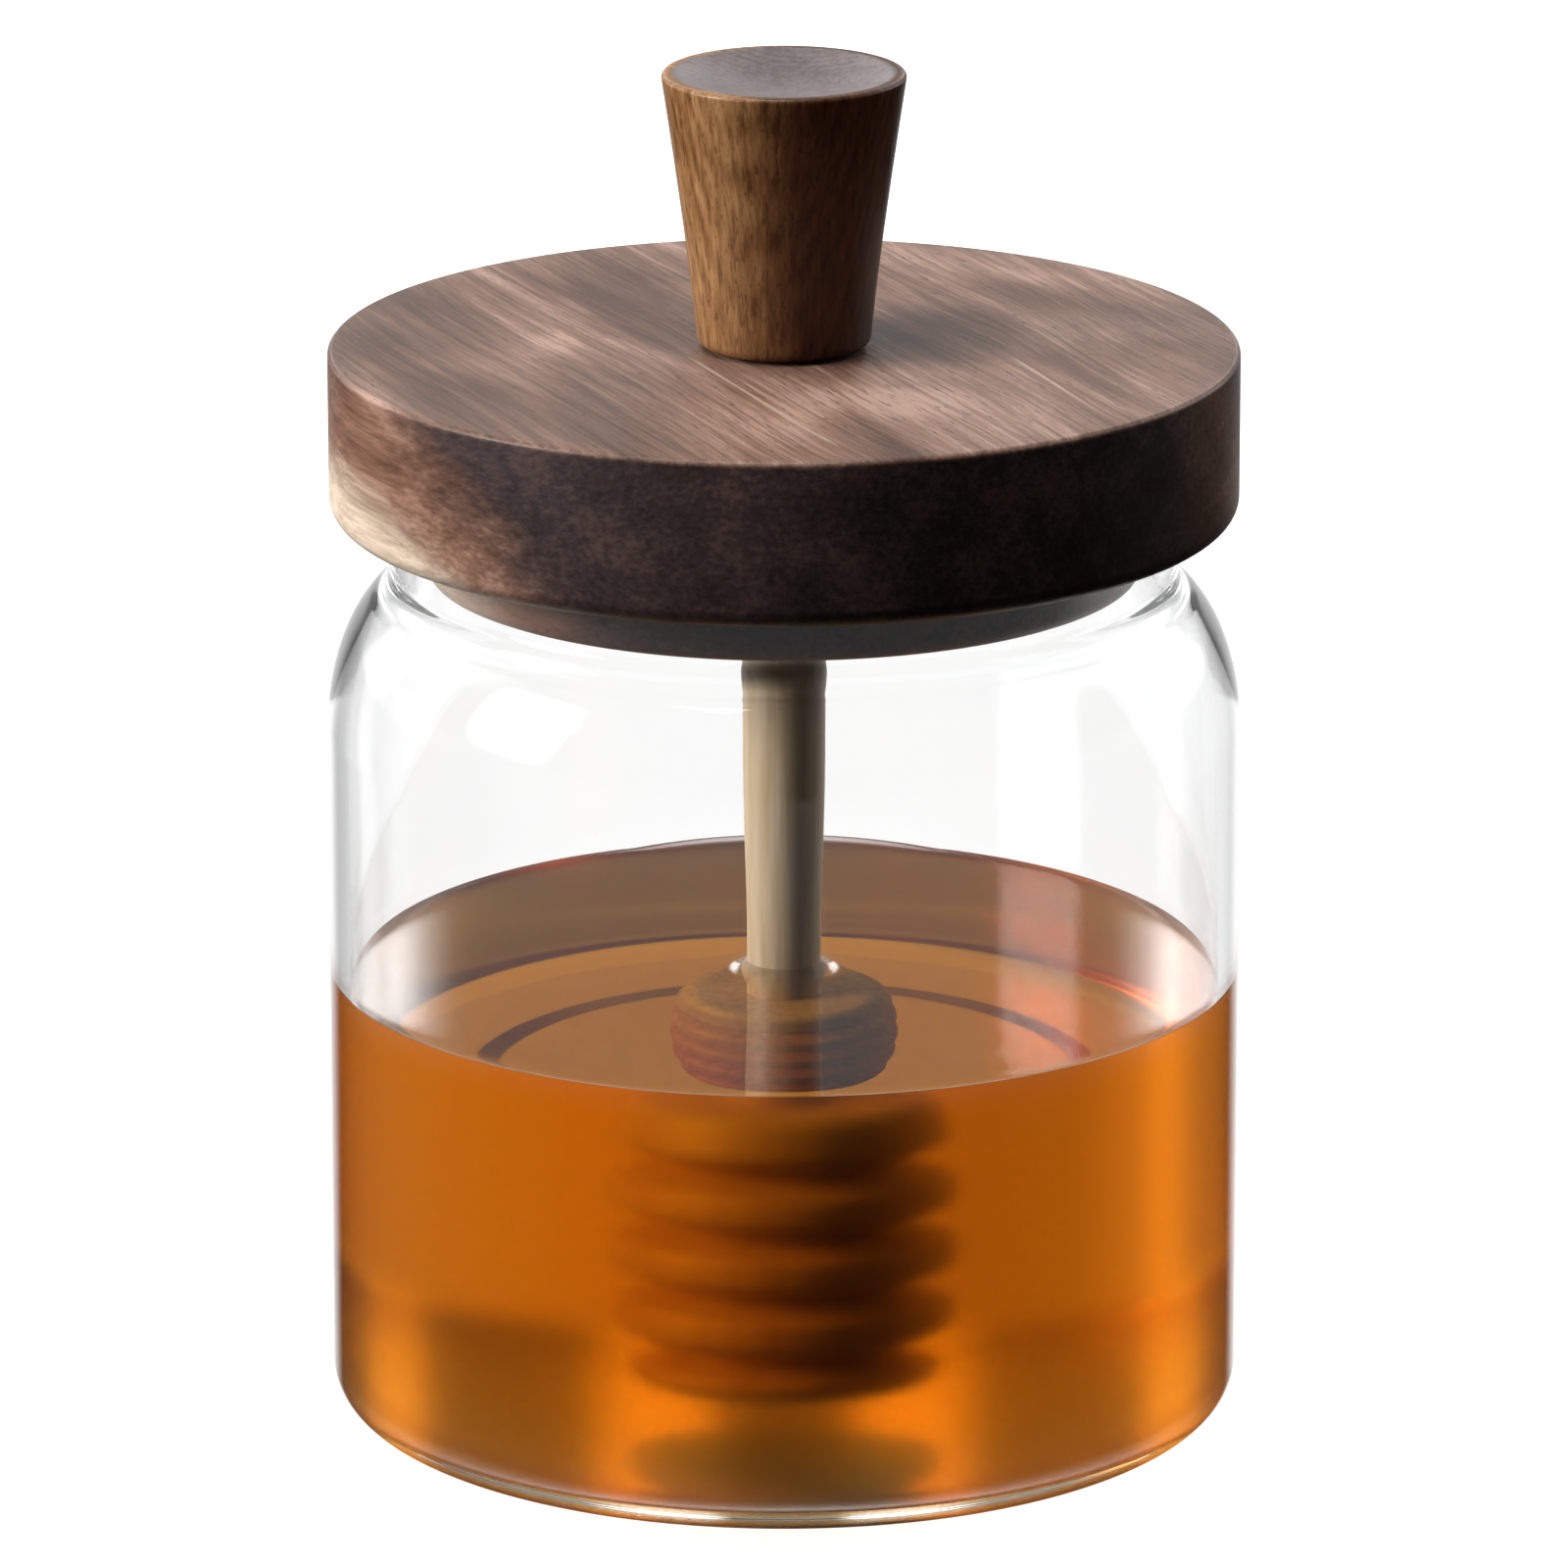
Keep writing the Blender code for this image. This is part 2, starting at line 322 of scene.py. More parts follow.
def turned(name, profile, around):
    """A turned surface: point (i, j) is (r_i cos a_j, r_i sin a_j, z_i) for profile point i and angle a_j.

    The profile runs down the outer side. An end on the axis becomes a single point with a fan round it, and
    a profile that starts and ends off the axis is closed from its last point to its first.
    """
    profile = np.asarray(profile, float)
    top_pole = profile[0, 0] < ON_AXIS
    bottom_pole = profile[-1, 0] < ON_AXIS
    rings = profile[int(top_pole):len(profile) - int(bottom_pole)]
    angle = np.arange(around) * 2.0 * np.pi / around
    x = np.outer(rings[:, 0], np.cos(angle))
    y = np.outer(rings[:, 0], np.sin(angle))
    z = np.repeat(rings[:, 1:2], around, axis=1)
    points = np.stack([x, y, z], axis=-1).reshape(-1, 3)
    count = len(rings)
    last_ring = count - 1 if (top_pole or bottom_pole) else count
    ring, step = np.meshgrid(np.arange(last_ring), np.arange(around), indexing="ij")
    below = (ring + 1) % count
    after = (step + 1) % around
    faces = np.stack([ring * around + step, below * around + step,
                      below * around + after, ring * around + after], axis=-1).reshape(-1, 4).tolist()
    step = np.arange(around)
    after = (step + 1) % around
    if top_pole:
        points = np.vstack([points, [[0.0, 0.0, profile[0, 1]]]])
        faces += np.column_stack([np.full(around, len(points) - 1), step, after]).tolist()
    if bottom_pole:
        points = np.vstack([points, [[0.0, 0.0, profile[-1, 1]]]])
        base = (count - 1) * around
        faces += np.column_stack([base + after, base + step, np.full(around, len(points) - 1)]).tolist()
    mesh = bpy.data.meshes.new(name)
    mesh.from_pydata(points.tolist(), [], faces)
    mesh.update()
    mesh.shade_smooth()
    mesh.set_sharp_from_angle(angle=math.radians(SHARP_FROM_DEG))
    piece = bpy.data.objects.new(name, mesh)
    scene.collection.objects.link(piece)
    return piece


def rounded_turn(before, corner, after, steps):
    """A quadratic curve from before to after that bends round the corner; its two end points are left out."""
    t = np.linspace(0.0, 1.0, steps + 1)[1:-1, None]
    before, corner, after = np.array(before), np.array(corner), np.array(after)
    return (1.0 - t) ** 2 * before + 2.0 * t * (1.0 - t) * corner + t ** 2 * after


def shoulder_and_neck(neck_r, depth, bottom, height, knee_up, bend_up, bend_deg):
    """The neck's line and the shoulder's elliptical arc, joined by a soft hollow bend round a knee."""
    centre_r = JAR_RADIUS - SHOULDER_DEPTH
    neck_deg = math.degrees(math.acos((neck_r - centre_r) / depth))
    corner = arc(centre_r, bottom, depth, height, neck_deg, 0.0, steps=1)[0]
    shoulder = arc(centre_r, bottom, depth, height, neck_deg - bend_deg, 0.0, steps=40)
    neck_top = (neck_r, RIM_HEIGHT - 2.0 * RIM_ROUNDING)
    bend_top = (neck_r, corner[1] + bend_up)
    bend = rounded_turn(bend_top, (neck_r, corner[1] + knee_up), shoulder[0], steps=12)
    return np.vstack([line(neck_top, bend_top, steps=5), [bend_top], bend, shoulder])


def glass_outside():
    """The outside (r, z) of the glass from the rim's crown to the middle of the hollow under the foot."""
    return np.vstack([
        rounding(NECK_RADIUS - RIM_ROUNDING, RIM_HEIGHT - RIM_ROUNDING, RIM_ROUNDING, 90, 0, steps=8),
        shoulder_and_neck(NECK_RADIUS, SHOULDER_DEPTH, SHOULDER_BOTTOM, SHOULDER_HEIGHT, NECK_KNEE,
                          NECK_BEND_UP, NECK_BEND_DEG),
        line((JAR_RADIUS, SHOULDER_BOTTOM), (JAR_RADIUS, JAR_CORNER_RADIUS), steps=12)[1:],
        rounding(JAR_RADIUS - JAR_CORNER_RADIUS, JAR_CORNER_RADIUS, JAR_CORNER_RADIUS, 0, -90, steps=24),
        [(FOOT_INNER_RADIUS + EDGE_LOOP, 0.0), (FOOT_INNER_RADIUS, 0.0), (PUNT_RADIUS, PUNT_HEIGHT),
         (PUNT_RADIUS - EDGE_LOOP, PUNT_HEIGHT), (0.5 * PUNT_RADIUS, PUNT_HEIGHT), (0.0, PUNT_HEIGHT)],
    ])


def glass_inside():
    """The inside (r, z) of the glass from the rim's crown down to the middle of its floor."""
    neck = NECK_RADIUS - JAR_WALL
    body = JAR_RADIUS - JAR_WALL
    corner = JAR_CORNER_RADIUS - JAR_WALL
    return np.vstack([
        rounding(neck + RIM_ROUNDING, RIM_HEIGHT - RIM_ROUNDING, RIM_ROUNDING, 90, 180, steps=8),
        shoulder_and_neck(neck, SHOULDER_DEPTH - JAR_WALL, SHOULDER_INNER_BOTTOM, SHOULDER_INNER_HEIGHT,
                          NECK_INNER_KNEE, NECK_INNER_BEND_UP, NECK_INNER_BEND_DEG),
        line((body, SHOULDER_INNER_BOTTOM), (body, JAR_FLOOR + corner), steps=12)[1:],
        rounding(body - corner, JAR_FLOOR + corner, corner, 0, -90, steps=20),
        [(0.5 * body, JAR_FLOOR), (0.0, JAR_FLOOR)],
    ])


def let_lamps_pass(tree, surface):
    """Light from the lamps and soft light from the room go straight through, as through a thin clear wall."""
    path = tree.nodes.new("ShaderNodeLightPath").outputs
    clear = tree.nodes.new("ShaderNodeBsdfTransparent").outputs["BSDF"]
    mix = tree.nodes.new("ShaderNodeMixShader")
    either = calc(tree, "MAXIMUM", path["Is Shadow Ray"], path["Is Diffuse Ray"])
    feed(tree, mix, {0: either, 1: surface.outputs["BSDF"], 2: clear})
    feed(tree, tree.nodes["Material Output"], {"Surface": mix.outputs["Shader"]})


def mark_dry(piece, is_dry):
    """An attribute that is 1 where the piece meets air and 0 where glass and honey wet each other."""
    points = np.empty(len(piece.data.vertices) * 3)
    piece.data.vertices.foreach_get("co", points)
    x, y, z = points.reshape(-1, 3).T
    dry = piece.data.attributes.new("dry", "FLOAT", "POINT")
    dry.data.foreach_set("value", is_dry(np.hypot(x, y), z).astype(float))


def shine_where_dry(tree, shader):
    """Only the sides that meet air shine; between glass and honey nothing is reflected."""
    dry = tree.nodes.new("ShaderNodeAttribute")
    dry.attribute_name = "dry"
    feed(tree, shader, {"Specular Tint": dry.outputs["Fac"]})
    return dry.outputs["Fac"]


jar = turned("glass_jar_wall", np.vstack([glass_inside()[::-1], glass_outside()]), JAR_STEPS_AROUND)
glass_material, tree, shader = new_material("clear_glass")
feed(tree, shader, {"Base Color": GLASS_COLOUR, "Roughness": 0.0, "IOR": GLASS_IOR,
                    "Transmission Weight": 1.0})
shine_where_dry(tree, shader)
let_lamps_pass(tree, shader)
mark_dry(jar, lambda r, z: (z > HONEY_LEVEL) | (r > JAR_RADIUS - 0.5 * JAR_WALL) | (z < 0.5 * JAR_FLOOR))
jar.data.materials.append(glass_material)
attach(jar, "root")
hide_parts("glass_jar")


# The dipper: turned from pale beech, a rod that widens into the plug above and a barrel of rounded ridges
# with narrow grooves below. It is pushed into the plug and hangs in the honey.
dipper_low, dipper_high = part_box("dipper")
ROD_TOP = dipper_high[2]
ROD_TOP_RADIUS = 0.0046
ROD_RADIUS = 0.0041
ROD_TAPER_TOP = 0.0740
ROD_TAPER_BOTTOM = 0.0530
HEAD_TOP = 0.0396
HEAD_BOTTOM = dipper_low[2]
HEAD_END_ROUNDING = 0.0022
RIDGE_PITCH = 0.0072
RIDGE_RADIUS = dipper_high[0]
BARREL_DROP = 0.0012
GROOVE_DEPTH = 0.0042
GROOVE_SHARPNESS = 3.0
FIRST_PITCH = 0.5
LAST_PITCH = 4.26
STEPS_PER_PITCH = 18
DIPPER_STEPS_AROUND = 144
BEECH_RAMP = [(0.33, (0.44, 0.29, 0.15)), (0.50, (0.60, 0.44, 0.27)), (0.70, (0.70, 0.56, 0.41))]


def head_outline():
    """The head's (r, z): the radius of a barrel less its grooves, each a raised cosine to the third power.

    The barrel's radius falls with the square of the distance from its middle. The grooves lie one pitch
    apart, and the curve runs from half a pitch below the head's top to where the lower end is rounded off.
    """
    end_r = RIDGE_RADIUS - BARREL_DROP - HEAD_END_ROUNDING
    middle = 0.5 * (HEAD_TOP - HEAD_BOTTOM)
    steps = int((LAST_PITCH - FIRST_PITCH) * STEPS_PER_PITCH)
    below = np.linspace(FIRST_PITCH, LAST_PITCH, steps) * RIDGE_PITCH
    groove = (0.5 + 0.5 * np.cos(2.0 * np.pi * below / RIDGE_PITCH)) ** GROOVE_SHARPNESS
    radius = RIDGE_RADIUS - BARREL_DROP * (below / middle - 1.0) ** 2 - GROOVE_DEPTH * groove
    return np.vstack([
        rounding(end_r, HEAD_TOP - HEAD_END_ROUNDING, HEAD_END_ROUNDING, 90, 0, steps=8),
        np.column_stack([radius, HEAD_TOP - below]),
        rounding(end_r, HEAD_BOTTOM + HEAD_END_ROUNDING, HEAD_END_ROUNDING, 0, -90, steps=8),
    ])


def rod_outline(steps=24):
    """The rod's taper (r, z): the radius falls from the top's to the lower part's along half a cosine."""
    share = np.linspace(0.0, 1.0, steps)
    radius = ROD_RADIUS + (ROD_TOP_RADIUS - ROD_RADIUS) * (0.5 + 0.5 * np.cos(np.pi * share))
    return np.column_stack([radius, ROD_TAPER_TOP + (ROD_TAPER_BOTTOM - ROD_TAPER_TOP) * share])


def placed(tree, turn_deg=0.0, stretch=(1.0, 1.0, 1.0)):
    """The place of a point on the object, turned about the upright axis and stretched."""
    mapping = tree.nodes.new("ShaderNodeMapping")
    mapping.inputs["Rotation"].default_value = (0.0, 0.0, math.radians(turn_deg))
    mapping.inputs["Scale"].default_value = stretch
    feed(tree, mapping, {"Vector": tree.nodes.new("ShaderNodeTexCoord").outputs["Object"]})
    return mapping.outputs["Vector"]


def noise(tree, vector, scale, detail=3.0, roughness=0.5, distortion=0.0):
    """A grey noise value over the given places."""
    node = tree.nodes.new("ShaderNodeTexNoise")
    feed(tree, node, {"Vector": vector, "Scale": scale, "Detail": detail, "Roughness": roughness,
                      "Distortion": distortion})
    return node.outputs["Fac"]


def ramp(tree, value, stops):
    """Colours spread over a value from 0 to 1."""
    node = tree.nodes.new("ShaderNodeValToRGB")
    while len(node.color_ramp.elements) < len(stops):
        node.color_ramp.elements.new(0.5)
    for element, (position, colour) in zip(node.color_ramp.elements, stops):
        element.position = position
        element.color = (*colour, 1.0)
    feed(tree, node, {"Fac": value})
    return node.outputs["Color"]


def relief(tree, shader, height, strength, distance):
    """A bump from a height value."""
    bump = tree.nodes.new("ShaderNodeBump")
    feed(tree, bump, {"Strength": strength, "Distance": distance, "Height": height})
    feed(tree, shader, {"Normal": bump.outputs["Normal"]})


dipper = turned("beech_dipper", np.vstack([
    [(0.0, ROD_TOP)],
    line((ROD_TOP_RADIUS, ROD_TOP), (ROD_TOP_RADIUS, ROD_TAPER_TOP), steps=12),
    rod_outline(),
    line((ROD_RADIUS, ROD_TAPER_BOTTOM), (ROD_RADIUS, HEAD_TOP), steps=8)[1:],
    [(ROD_RADIUS, HEAD_TOP)],
    head_outline(),
    [(0.0, HEAD_BOTTOM)],
]), DIPPER_STEPS_AROUND)
beech_material, tree, shader = new_material("pale_beech")
fibres = noise(tree, placed(tree, stretch=(1.0, 1.0, 0.06)), scale=900.0, detail=4.0, roughness=0.6)
clouds = noise(tree, placed(tree, stretch=(1.0, 1.0, 0.25)), scale=110.0, detail=2.0)
grain = weighted(tree, 0.0, (fibres, 0.55), (clouds, 0.45))
feed(tree, shader, {"Base Color": ramp(tree, grain, BEECH_RAMP),
                    "Roughness": weighted(tree, 0.38, (fibres, 0.2))})
relief(tree, shader, fibres, strength=0.25, distance=0.0002)
dipper.data.materials.append(beech_material)
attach(dipper, "root")
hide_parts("dipper")


# The honey: clear amber, poured to its level. It wets the glass and the rod, so its surface climbs a little
# at both, and its sides reach just into the glass and into the wood so that no air shows between.
HONEY_OVERLAP = 0.0002
CLIMB_ZONE = 0.006
GLASS_CLIMB = 0.0004
GLASS_CLIMB_WIDTH = 0.0008
ROD_CLIMB = 0.0011
ROD_CLIMB_WIDTH = 0.0009
SIDE_TOP_DROP = 0.001
DRY_MARGIN = 0.0001
HONEY_IOR = 1.49
HONEY_SOFTNESS = 0.19
# Painted shade: where the honey meets air at its top, what shows through it is dimmed to this colour,
# standing in for the shade under the jar.
HONEY_TOP_PAINTED_SHADE = (0.54, 0.49, 0.50)
HONEY_ABSORPTION_DENSITY = 75.0
HONEY_ABSORPTION_COLOUR = (0.905, 0.685, 0.040)
WHITE = (1.0, 1.0, 1.0)


def honey_outline():
    """The honey's (r, z): round the dipper's inside, over the level, and down inside the wall to the floor.

    The surface height is the level plus one exponential climb towards the rod and one towards the glass.
    """
    body = JAR_RADIUS - JAR_WALL
    corner = JAR_CORNER_RADIUS - JAR_WALL
    side = body + HONEY_OVERLAP
    floor_z = JAR_FLOOR - HONEY_OVERLAP
    radius = np.concatenate([
        ROD_RADIUS - HONEY_OVERLAP + np.linspace(0.0, CLIMB_ZONE, 20, endpoint=False),
        np.linspace(ROD_RADIUS + CLIMB_ZONE, body - CLIMB_ZONE, 24, endpoint=False),
        body - CLIMB_ZONE + (CLIMB_ZONE + HONEY_OVERLAP) * np.linspace(0.0, 1.0, 24),
    ])
    climb = ROD_CLIMB * np.exp(-np.maximum(radius - ROD_RADIUS, 0.0) / ROD_CLIMB_WIDTH)
    climb += GLASS_CLIMB * np.exp(-np.maximum(body - radius, 0.0) / GLASS_CLIMB_WIDTH)
    in_wood = head_outline() - [HONEY_OVERLAP, 0.0]
    in_wood[:, 1] = np.clip(in_wood[:, 1], HEAD_BOTTOM + HONEY_OVERLAP, HEAD_TOP - HONEY_OVERLAP)
    return np.vstack([
        [(0.0, HEAD_BOTTOM + HONEY_OVERLAP)],
        in_wood[::-1],
        [(ROD_RADIUS - HONEY_OVERLAP, HEAD_TOP - HONEY_OVERLAP)],
        np.column_stack([radius, HONEY_LEVEL + climb]),
        line((side, HONEY_LEVEL - SIDE_TOP_DROP), (side, JAR_FLOOR + corner), steps=12),
        rounding(body - corner, JAR_FLOOR + corner, corner + HONEY_OVERLAP, 0, -90, steps=20),
        [(0.5 * body, floor_z), (0.0, floor_z)],
    ])


def blend(tree, share, first, second, mode="MIX"):
    """Two colours mixed by a value or a number."""
    node = tree.nodes.new("ShaderNodeMix")
    node.data_type = "RGBA"
    node.blend_type = mode
    feed(tree, node, {0: share, 6: first, 7: second})
    return node.outputs[2]


honey = turned("amber_honey", honey_outline(), JAR_STEPS_AROUND)
honey_material, tree, shader = new_material("amber_honey")
dry = shine_where_dry(tree, shader)
# The top surface's base colour is painted shade that dims what is seen through it.
feed(tree, shader, {
    "Base Color": blend(tree, dry, WHITE, HONEY_TOP_PAINTED_SHADE), "IOR": HONEY_IOR, "Transmission Weight": 1.0,
    "Roughness": weighted(tree, HONEY_SOFTNESS, (dry, -HONEY_SOFTNESS)),
})
mark_dry(honey, lambda r, z: (z > HONEY_LEVEL - DRY_MARGIN) & (r > ROD_RADIUS) & (r < JAR_RADIUS - JAR_WALL))
let_lamps_pass(tree, shader)
absorb = tree.nodes.new("ShaderNodeVolumeAbsorption")
feed(tree, absorb, {"Color": HONEY_ABSORPTION_COLOUR, "Density": HONEY_ABSORPTION_DENSITY})
feed(tree, tree.nodes["Material Output"], {"Volume": absorb.outputs["Volume"]})
honey.data.materials.append(honey_material)
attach(honey, "root")
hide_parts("honey")


# The lid: a thick disc and its plug, turned in one piece from a board of dark brown wood. The grain runs from
# back left to front right, with pale sapwood at the lower left. The front of its side is darkened with
# painted shade, and the plug with painted shade under the disc. It is oiled.
lid_low, lid_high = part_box("lid")
PLUG_BOTTOM = lid_low[2]
LID_RADIUS = lid_high[0]
LID_TOP = lid_high[2]
LID_THICKNESS = 0.0185
LID_BOTTOM = LID_TOP - LID_THICKNESS
LID_TOP_ROUNDING = 0.0006
LID_BOTTOM_ROUNDING = 0.0022
PLUG_RADIUS = 0.0392
PLUG_ROUNDING = 0.0018
SOCKET_GAP = 0.0003
LID_STEPS_AROUND = 288

GRAIN_TURN_DEG = -24.0
GRAIN_BEND = 0.0080
RING_CENTRE_ACROSS = -0.055
RING_CENTRE_UP = -0.060
RING_SPACING = 0.0024
RING_RAGGED = 0.0014
LID_RAMP = [(0.38, (0.080, 0.040, 0.026)), (0.46, (0.145, 0.077, 0.051)),
            (0.54, (0.245, 0.141, 0.101)), (0.61, (0.400, 0.255, 0.196))]
SIDE_TINT = (0.92, 0.80, 0.72)
# Painted shade: the plug is darkened as if in the shade under the disc.
PLUG_PAINTED_SHADE = (0.62, 0.52, 0.46)
LID_PORE_COLOUR = (0.040, 0.022, 0.016)

# The sapwood lies where a leaning line through side and height is passed, the painted shade on the front
# likewise.
SAP_EDGE = -0.0905
SAP_SOFT = 0.0065
SAP_LEAN = -0.36
SAP_RAGGED = 0.008
SAP_X = (-0.026, -0.036)
SAP_RAMP = [(0.35, (0.62, 0.46, 0.33)), (0.60, (0.84, 0.69, 0.54))]
# Painted shade: the front of the lid's side, right of a leaning line, is darkened to near black.
FRONT_SHADE_EDGE = 0.0572
FRONT_SHADE_SOFT = 0.011
FRONT_SHADE_LEAN = 0.79
FRONT_SHADE_RAGGED = 0.016
FRONT_SHADE_Y = (-0.016, -0.030)
FRONT_SHADE_STRENGTH = 0.90
FRONT_SHADE_RAMP = [(0.36, (0.010, 0.008, 0.010)), (0.50, (0.030, 0.019, 0.022)), (0.62, (0.066, 0.040, 0.036))]

# A few straight pale lines along the grain of the top, at these places across it.
LIGHT_LINES = (-0.0072, -0.0350, 0.0240)
LIGHT_LINE_WIDTH = (0.00034, 0.00012)
LIGHT_LINE_CLOUDS = (0.46, 0.56)
LIGHT_LINE_STRENGTH = 0.75
LIGHT_LINE_COLOUR = (0.46, 0.34, 0.25)


def lid_outline():
    """The lid's (r, z) from the middle of its top, round disc and plug, and up into the rod's socket."""
    socket_r = ROD_TOP_RADIUS + SOCKET_GAP
    socket_z = ROD_TOP + SOCKET_GAP
    return np.vstack([
        line((0.0, LID_TOP), (LID_RADIUS - LID_TOP_ROUNDING, LID_TOP), steps=10),
        rounding(LID_RADIUS - LID_TOP_ROUNDING, LID_TOP - LID_TOP_ROUNDING, LID_TOP_ROUNDING, 90, 0, steps=8),
        rounding(LID_RADIUS - LID_BOTTOM_ROUNDING, LID_BOTTOM + LID_BOTTOM_ROUNDING, LID_BOTTOM_ROUNDING,
                 0, -90, steps=12),
        [(PLUG_RADIUS, LID_BOTTOM)],
        rounding(PLUG_RADIUS - PLUG_ROUNDING, PLUG_BOTTOM + PLUG_ROUNDING, PLUG_ROUNDING, 0, -90, steps=10),
        [(socket_r, PLUG_BOTTOM), (socket_r, socket_z), (0.0, socket_z)],
    ])


def joined(tree, x, y, z):
    """A vector from three values or numbers."""
    node = tree.nodes.new("ShaderNodeCombineXYZ")
    feed(tree, node, {"X": x, "Y": y, "Z": z})
    return node.outputs["Vector"]


def length(tree, vector):
    """The length of a vector."""
    node = tree.nodes.new("ShaderNodeVectorMath")
    node.operation = "LENGTH"
    feed(tree, node, {0: vector})
    return node.outputs["Value"]


lid = turned("wooden_lid", lid_outline(), LID_STEPS_AROUND)
lid_material, tree, shader = new_material("oiled_dark_wood")
bend = noise(tree, placed(tree, GRAIN_TURN_DEG, stretch=(1.0, 0.35, 1.0)), scale=28.0, detail=1.0)
across, along, up = split(tree, placed(tree, GRAIN_TURN_DEG))
across = weighted(tree, across, (bend, GRAIN_BEND))
fibre_place, pore_place, streak_place, cloud_place = (
    joined(tree, across, product(tree, along, stretch), up) for stretch in (0.035, 0.085, 0.10, 0.50))
fibres = noise(tree, fibre_place, scale=1500.0, detail=3.0, roughness=0.65)
streaks = noise(tree, streak_place, scale=210.0, detail=3.0, roughness=0.55, distortion=0.3)
clouds = noise(tree, cloud_place, scale=42.0, detail=2.0, roughness=0.5, distortion=0.5)
pores = noise(tree, pore_place, scale=3600.0, detail=1.0, roughness=0.5)
edge_noise = noise(tree, streak_place, scale=160.0, detail=3.0, roughness=0.6)

tree_across = calc(tree, "ADD", across, RING_CENTRE_ACROSS)
tree_up = calc(tree, "ADD", up, RING_CENTRE_UP)
ring_radius = weighted(tree, length(tree, joined(tree, tree_across, 0.0, tree_up)), (streaks, RING_RAGGED))
rings = calc(tree, "SINE", product(tree, ring_radius, 2.0 * math.pi / RING_SPACING))
tone = weighted(tree, -0.055, (clouds, 0.56), (streaks, 0.22), (fibres, 0.32), (rings, 0.012))
on_side = soft_step(tree, up, LID_TOP - 0.0002, LID_TOP - 0.0009)
plug_shade_mask = soft_step(tree, up, LID_BOTTOM + 0.0002, LID_BOTTOM - 0.0002)
wood = blend(tree, on_side, ramp(tree, tone, LID_RAMP), SIDE_TINT, "MULTIPLY")

x, y, z = split(tree, placed(tree))
sap_place = weighted(tree, product(tree, z, -1.0), (x, SAP_LEAN), (edge_noise, SAP_RAGGED))
sap = product(tree, soft_step(tree, sap_place, SAP_EDGE, SAP_EDGE + SAP_SOFT), soft_step(tree, x, *SAP_X))
wood = blend(tree, sap, wood, ramp(tree, fibres, SAP_RAMP))
# Painted shade under the disc, on the plug.
wood = blend(tree, plug_shade_mask, wood, PLUG_PAINTED_SHADE, "MULTIPLY")
# Painted shade on the front of the side, darkening it to near black.
front_shade_place = weighted(tree, x, (z, FRONT_SHADE_LEAN), (edge_noise, FRONT_SHADE_RAGGED))
front_shade = product(tree, soft_step(tree, front_shade_place, FRONT_SHADE_EDGE, FRONT_SHADE_EDGE + FRONT_SHADE_SOFT),
                soft_step(tree, y, *FRONT_SHADE_Y), on_side, FRONT_SHADE_STRENGTH)
front_shade_tone = weighted(tree, product(tree, fibres, 0.4), (edge_noise, 0.6))
wood = blend(tree, front_shade, wood, ramp(tree, front_shade_tone, FRONT_SHADE_RAMP))
pore_mask = product(tree, soft_step(tree, pores, 0.39, 0.32), weighted(tree, 0.50, (on_side, -0.35)))
wood = blend(tree, pore_mask, wood, LID_PORE_COLOUR)
for place in LIGHT_LINES:
    off_line = calc(tree, "ABSOLUTE", calc(tree, "SUBTRACT", across, place))
    mark = product(tree, soft_step(tree, off_line, *LIGHT_LINE_WIDTH),
                   soft_step(tree, clouds, *LIGHT_LINE_CLOUDS),
                   calc(tree, "SUBTRACT", LIGHT_LINE_STRENGTH, on_side))
    wood = blend(tree, mark, wood, LIGHT_LINE_COLOUR)
feed(tree, shader, {"Base Color": wood, "Roughness": weighted(tree, 0.33, (fibres, 0.24)),
                    "Specular IOR Level": 0.32})
relief(tree, shader, calc(tree, "SUBTRACT", fibres, pore_mask), strength=0.22, distance=0.00018)
lid.data.materials.append(lid_material)
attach(lid, "root")
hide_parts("lid")


# The knob: a stem of warmer brown wood, turned with its grain upright, flared to the top and dished there.
# It is glued to the middle of the lid. Its right half is darkened with painted shade, and the end grain of
# the dish is greyed with painted sheen.
knob_low, knob_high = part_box("knob")
KNOB_FOOT = knob_low[2]
KNOB_TOP = knob_high[2]
KNOB_FOOT_RADIUS = 0.0096
KNOB_TOP_RADIUS = knob_high[0]
KNOB_FOOT_ROUNDING = 0.0012
KNOB_RIM_ROUNDING = 0.0005
KNOB_FLARE_POWER = 1.15
DISH_RADIUS = 0.0122
DISH_DEPTH = 0.0013
KNOB_STEPS_AROUND = 192

KNOB_TREE_X = 0.021
KNOB_TREE_Y = 0.014
KNOB_TREE_LEAN = 0.10
KNOB_RING_SPACING = 0.0013
KNOB_RING_RAGGED = 0.0035
KNOB_RAMP = [(0.36, (0.120, 0.050, 0.016)), (0.46, (0.235, 0.108, 0.038)),
             (0.55, (0.330, 0.165, 0.064)), (0.66, (0.430, 0.235, 0.105))]
KNOB_PORE_COLOUR = (0.070, 0.028, 0.010)
KNOB_PORE_STRENGTH = 0.50
# Painted shade: the knob's right half, away from the left lamp, is darkened.
KNOB_SHADE_X = (-0.0050, 0.0050)
KNOB_SHADE_RAGGED = 0.006
KNOB_RIGHT_PAINTED_SHADE = (0.28, 0.20, 0.18)
# The dish's end grain, greyed with painted sheen.
END_GRAIN_AND_PAINTED_SHEEN_RAMP = [(0.36, (0.09, 0.07, 0.07)), (0.60, (0.19, 0.155, 0.150))]


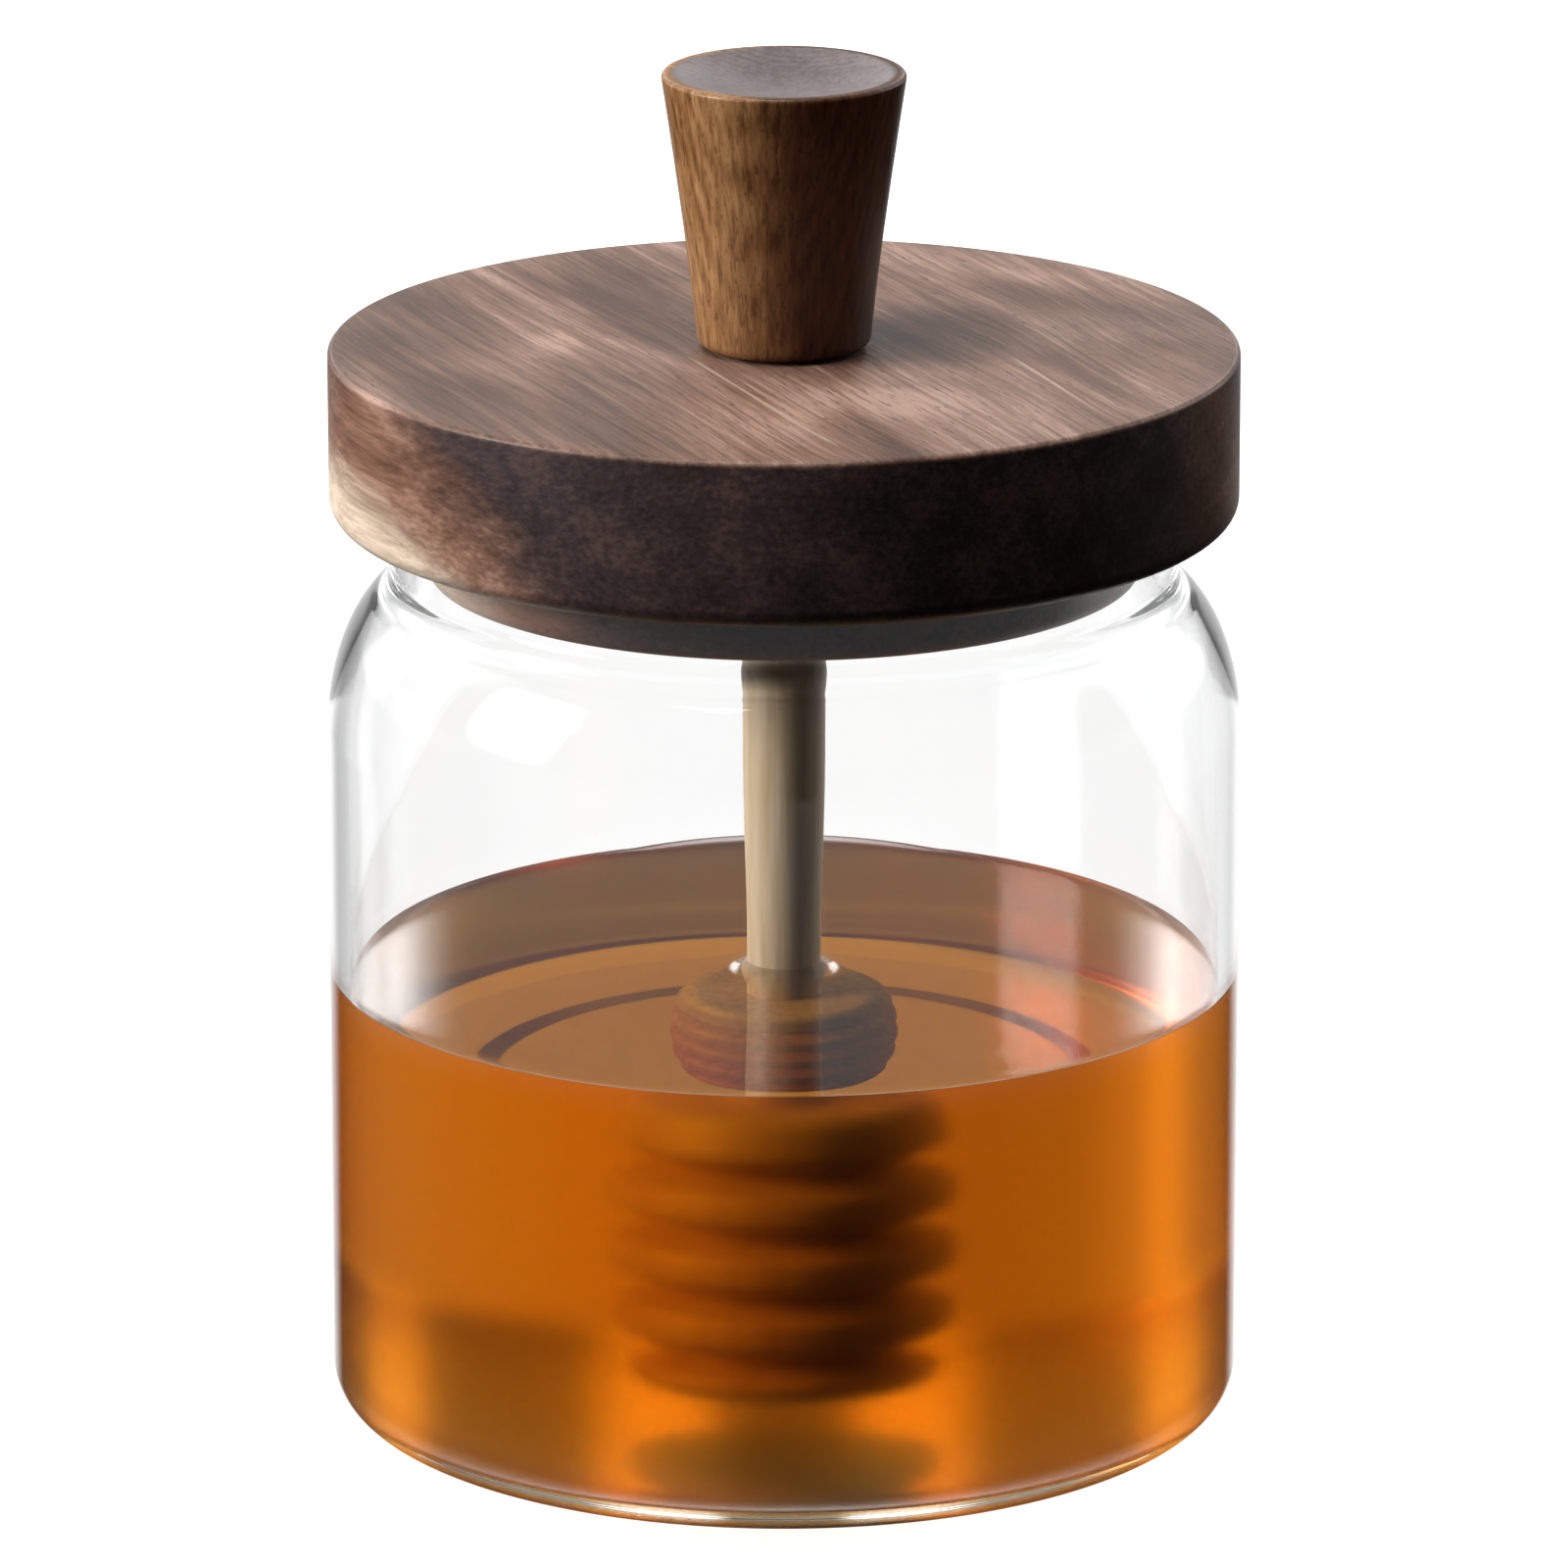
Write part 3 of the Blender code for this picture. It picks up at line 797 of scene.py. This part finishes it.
def knob_outline():
    """The knob's (r, z): a parabolic dish, a rounded rim, a side whose radius grows by a power of height."""
    share = np.linspace(0.0, 1.0, 20)
    dish = np.column_stack([DISH_RADIUS * share, KNOB_TOP - DISH_DEPTH * (1.0 - share ** 2)])
    side_top = KNOB_TOP - KNOB_RIM_ROUNDING
    side_bottom = KNOB_FOOT + KNOB_FOOT_ROUNDING
    share = np.linspace(1.0, 0.0, 40)[1:-1]
    radius = KNOB_FOOT_RADIUS + (KNOB_TOP_RADIUS - KNOB_FOOT_RADIUS) * share ** KNOB_FLARE_POWER
    return np.vstack([
        dish,
        rounding(KNOB_TOP_RADIUS - KNOB_RIM_ROUNDING, side_top, KNOB_RIM_ROUNDING, 75, 0, steps=8),
        np.column_stack([radius, side_bottom + (side_top - side_bottom) * share]),
        rounding(KNOB_FOOT_RADIUS - KNOB_FOOT_ROUNDING, side_bottom, KNOB_FOOT_ROUNDING, 0, -90, steps=10),
        [(0.0, KNOB_FOOT)],
    ])


knob = turned("wooden_knob", knob_outline(), KNOB_STEPS_AROUND)
knob_material, tree, shader = new_material("oiled_brown_wood")
fibres = noise(tree, placed(tree, stretch=(1.0, 1.0, 0.055)), scale=1500.0, detail=3.0, roughness=0.65)
pores = noise(tree, placed(tree, stretch=(1.0, 1.0, 0.20)), scale=2900.0, detail=1.0)
patches = noise(tree, placed(tree, stretch=(1.0, 1.0, 0.4)), scale=85.0, detail=2.0)

x, y, z = split(tree, placed(tree))
tree_x = weighted(tree, calc(tree, "SUBTRACT", x, KNOB_TREE_X), (z, KNOB_TREE_LEAN))
tree_y = weighted(tree, calc(tree, "SUBTRACT", y, KNOB_TREE_Y), (z, -KNOB_TREE_LEAN))
ring_radius = weighted(tree, length(tree, joined(tree, tree_x, tree_y, 0.0)), (patches, KNOB_RING_RAGGED))
rings = calc(tree, "SINE", product(tree, ring_radius, 2.0 * math.pi / KNOB_RING_SPACING))
tone = weighted(tree, product(tree, patches, 0.40), (fibres, 0.60), (rings, 0.035))
pore_mask = soft_step(tree, pores, 0.40, 0.34)
wood = ramp(tree, tone, KNOB_RAMP)
wood = blend(tree, product(tree, pore_mask, KNOB_PORE_STRENGTH), wood, KNOB_PORE_COLOUR)
# Painted shade on the knob's right half.
knob_right_shade = soft_step(tree, weighted(tree, x, (patches, KNOB_SHADE_RAGGED)), *KNOB_SHADE_X)
wood = blend(tree, knob_right_shade, wood, KNOB_RIGHT_PAINTED_SHADE, "MULTIPLY")
# Inside the rim, the top is end grain with painted sheen.
on_top = soft_step(tree, z, KNOB_TOP - 0.0018, KNOB_TOP - 0.0012)
from_axis = length(tree, joined(tree, x, y, 0.0))
inside_rim = soft_step(tree, from_axis, KNOB_TOP_RADIUS - 0.0008, DISH_RADIUS - 0.0004)
wood = blend(tree, product(tree, on_top, inside_rim), wood, ramp(tree, tone, END_GRAIN_AND_PAINTED_SHEEN_RAMP))
feed(tree, shader, {"Base Color": wood, "Roughness": weighted(tree, 0.28, (fibres, 0.20)),
                    "Specular IOR Level": 0.30})
relief(tree, shader, calc(tree, "SUBTRACT", fibres, pore_mask), strength=0.2, distance=0.00015)
knob.data.materials.append(knob_material)
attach(knob, "root")
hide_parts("knob")
